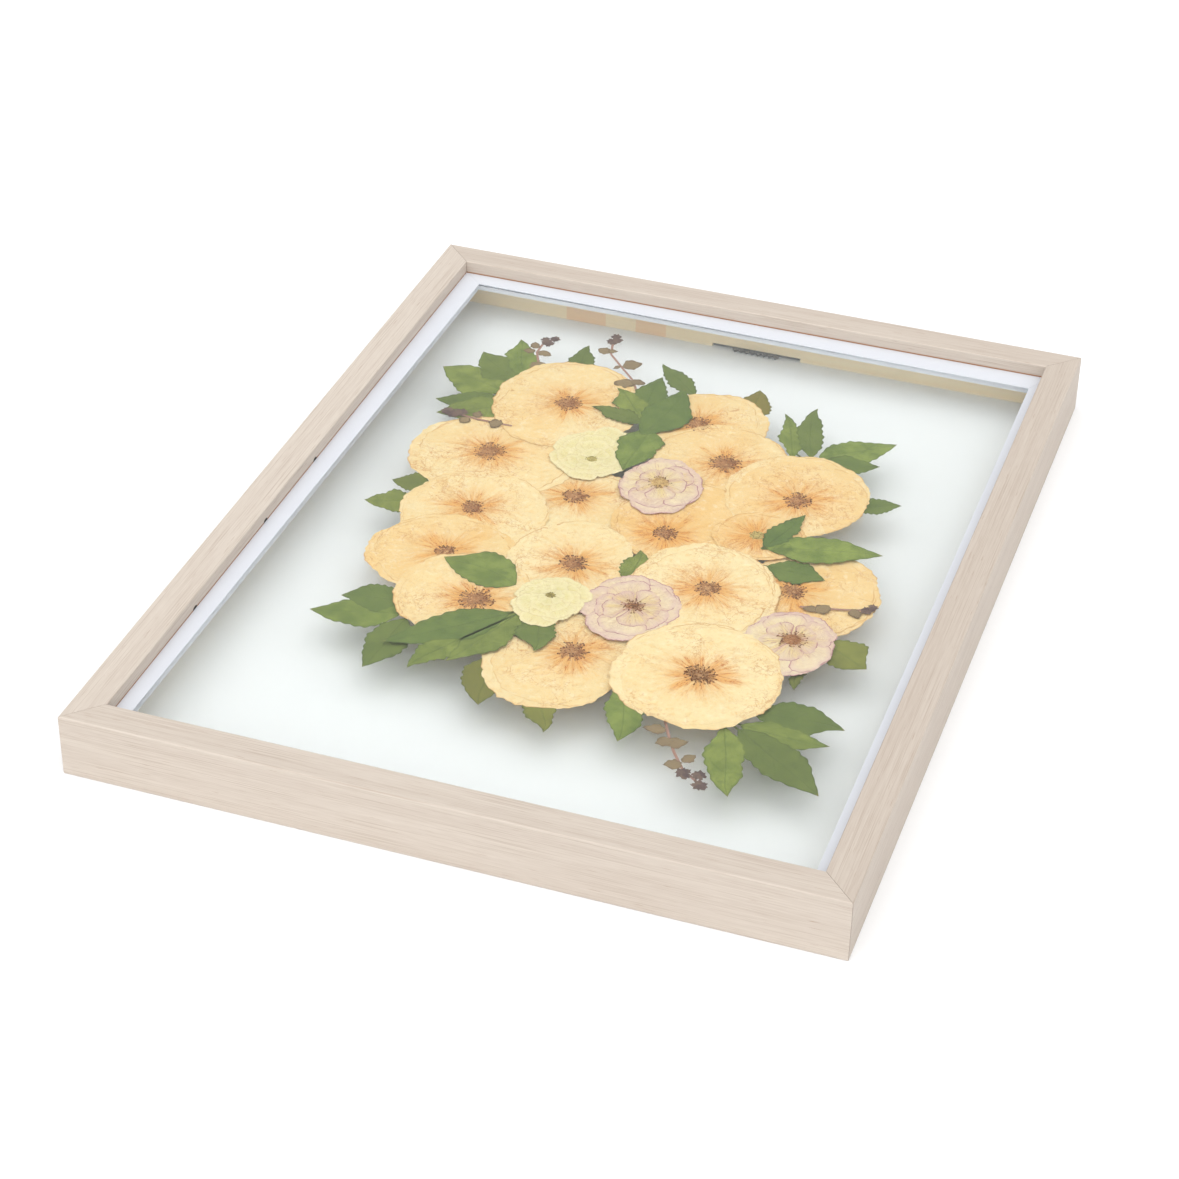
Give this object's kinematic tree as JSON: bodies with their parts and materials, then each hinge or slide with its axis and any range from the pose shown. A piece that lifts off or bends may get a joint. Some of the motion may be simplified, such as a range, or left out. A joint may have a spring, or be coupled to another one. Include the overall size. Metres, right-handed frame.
{
  "type": "pressed flower frame",
  "caption": "Floating glass frame of pale wood with pressed cream and apricot roses, cream and pink flowers, leaves and bud sprigs held flat between clear panes",
  "frame": {"origin": "middle of the frame's back face, on the surface it lies on", "axes": "+Z is the front, away from the surface; +Y the top edge, where the hanger is; +X the right side seen from the front"},
  "size_m": [0.327, 0.427, 0.0285],
  "materials": {
    "pale_wood": "pale washed woodgrain wrap, matt, over pine",
    "white_strip": "smooth matt white spacer strip",
    "clear_glass": "clear picture glass with a faint green cast",
    "dark_steel": "black stamped steel plate",
    "nail_steel": "plain bright steel",
    "cream_rose_petal": "dry pressed petal, cream yellow with an amber heart",
    "apricot_rose_petal": "dry pressed petal, apricot with an orange heart",
    "pale_cream_petal": "dry pressed petal, pale cream with a green eye",
    "mauve_petal": "dry pressed petal, dusty pink with mauve rims",
    "green_leaf": "dry pressed leaf, matt mid green",
    "olive_leaf": "dry pressed leaf, matt olive turning brown",
    "brown_bud": "dry brown bud and round leaf on a pinkish stem"
  },
  "bodies": {
    "root": {"rail_top": "pale_wood", "rail_bottom": "pale_wood", "rail_left": "pale_wood", "rail_right": "pale_wood", "border_strip_top": "white_strip", "border_strip_bottom": "white_strip", "border_strip_left": "white_strip", "border_strip_right": "white_strip", "spacer_strip_top": "white_strip", "spacer_strip_bottom": "white_strip", "spacer_strip_left": "white_strip", "spacer_strip_right": "white_strip", "front_glass": "clear_glass", "back_glass": "clear_glass", "hanger": "dark_steel", "hanger_nail_left": "nail_steel", "hanger_nail_right": "nail_steel", "rose_1": "cream_rose_petal", "rose_2": "cream_rose_petal", "rose_3": "cream_rose_petal", "rose_4": "apricot_rose_petal", "rose_5": "cream_rose_petal", "rose_6": "cream_rose_petal", "rose_7": "cream_rose_petal", "rose_8": "apricot_rose_petal", "rose_9": "apricot_rose_petal", "rose_10": "cream_rose_petal", "rose_11": "apricot_rose_petal", "rose_12": "apricot_rose_petal", "rose_13": "cream_rose_petal", "rose_14": "apricot_rose_petal", "rose_15": "cream_rose_petal", "rose_16": "cream_rose_petal", "ranunculus_1": "pale_cream_petal", "ranunculus_2": "pale_cream_petal", "pink_flower_1": "mauve_petal", "pink_flower_2": "mauve_petal", "pink_flower_3": "mauve_petal", "leaf_top_left": "green_leaf", "leaf_top_middle": "green_leaf", "leaf_top_brown": "olive_leaf", "leaf_centre": "green_leaf", "leaf_top_right": "green_leaf", "leaf_right_edge": "green_leaf", "leaf_right": "green_leaf", "leaf_right_small": "green_leaf", "leaf_right_low": "olive_leaf", "leaf_bottom_right": "green_leaf", "leaf_bottom_middle": "green_leaf", "leaf_bottom_left": "olive_leaf", "leaf_left_low": "green_leaf", "leaf_left_back": "green_leaf", "leaf_oval": "green_leaf", "leaf_left_middle": "green_leaf", "leaf_small_centre": "green_leaf", "sprig_top_left": "brown_bud", "sprig_top": "brown_bud", "sprig_left": "brown_bud", "sprig_right": "brown_bud", "sprig_bottom": "brown_bud"}
  },
  "joints": []
}
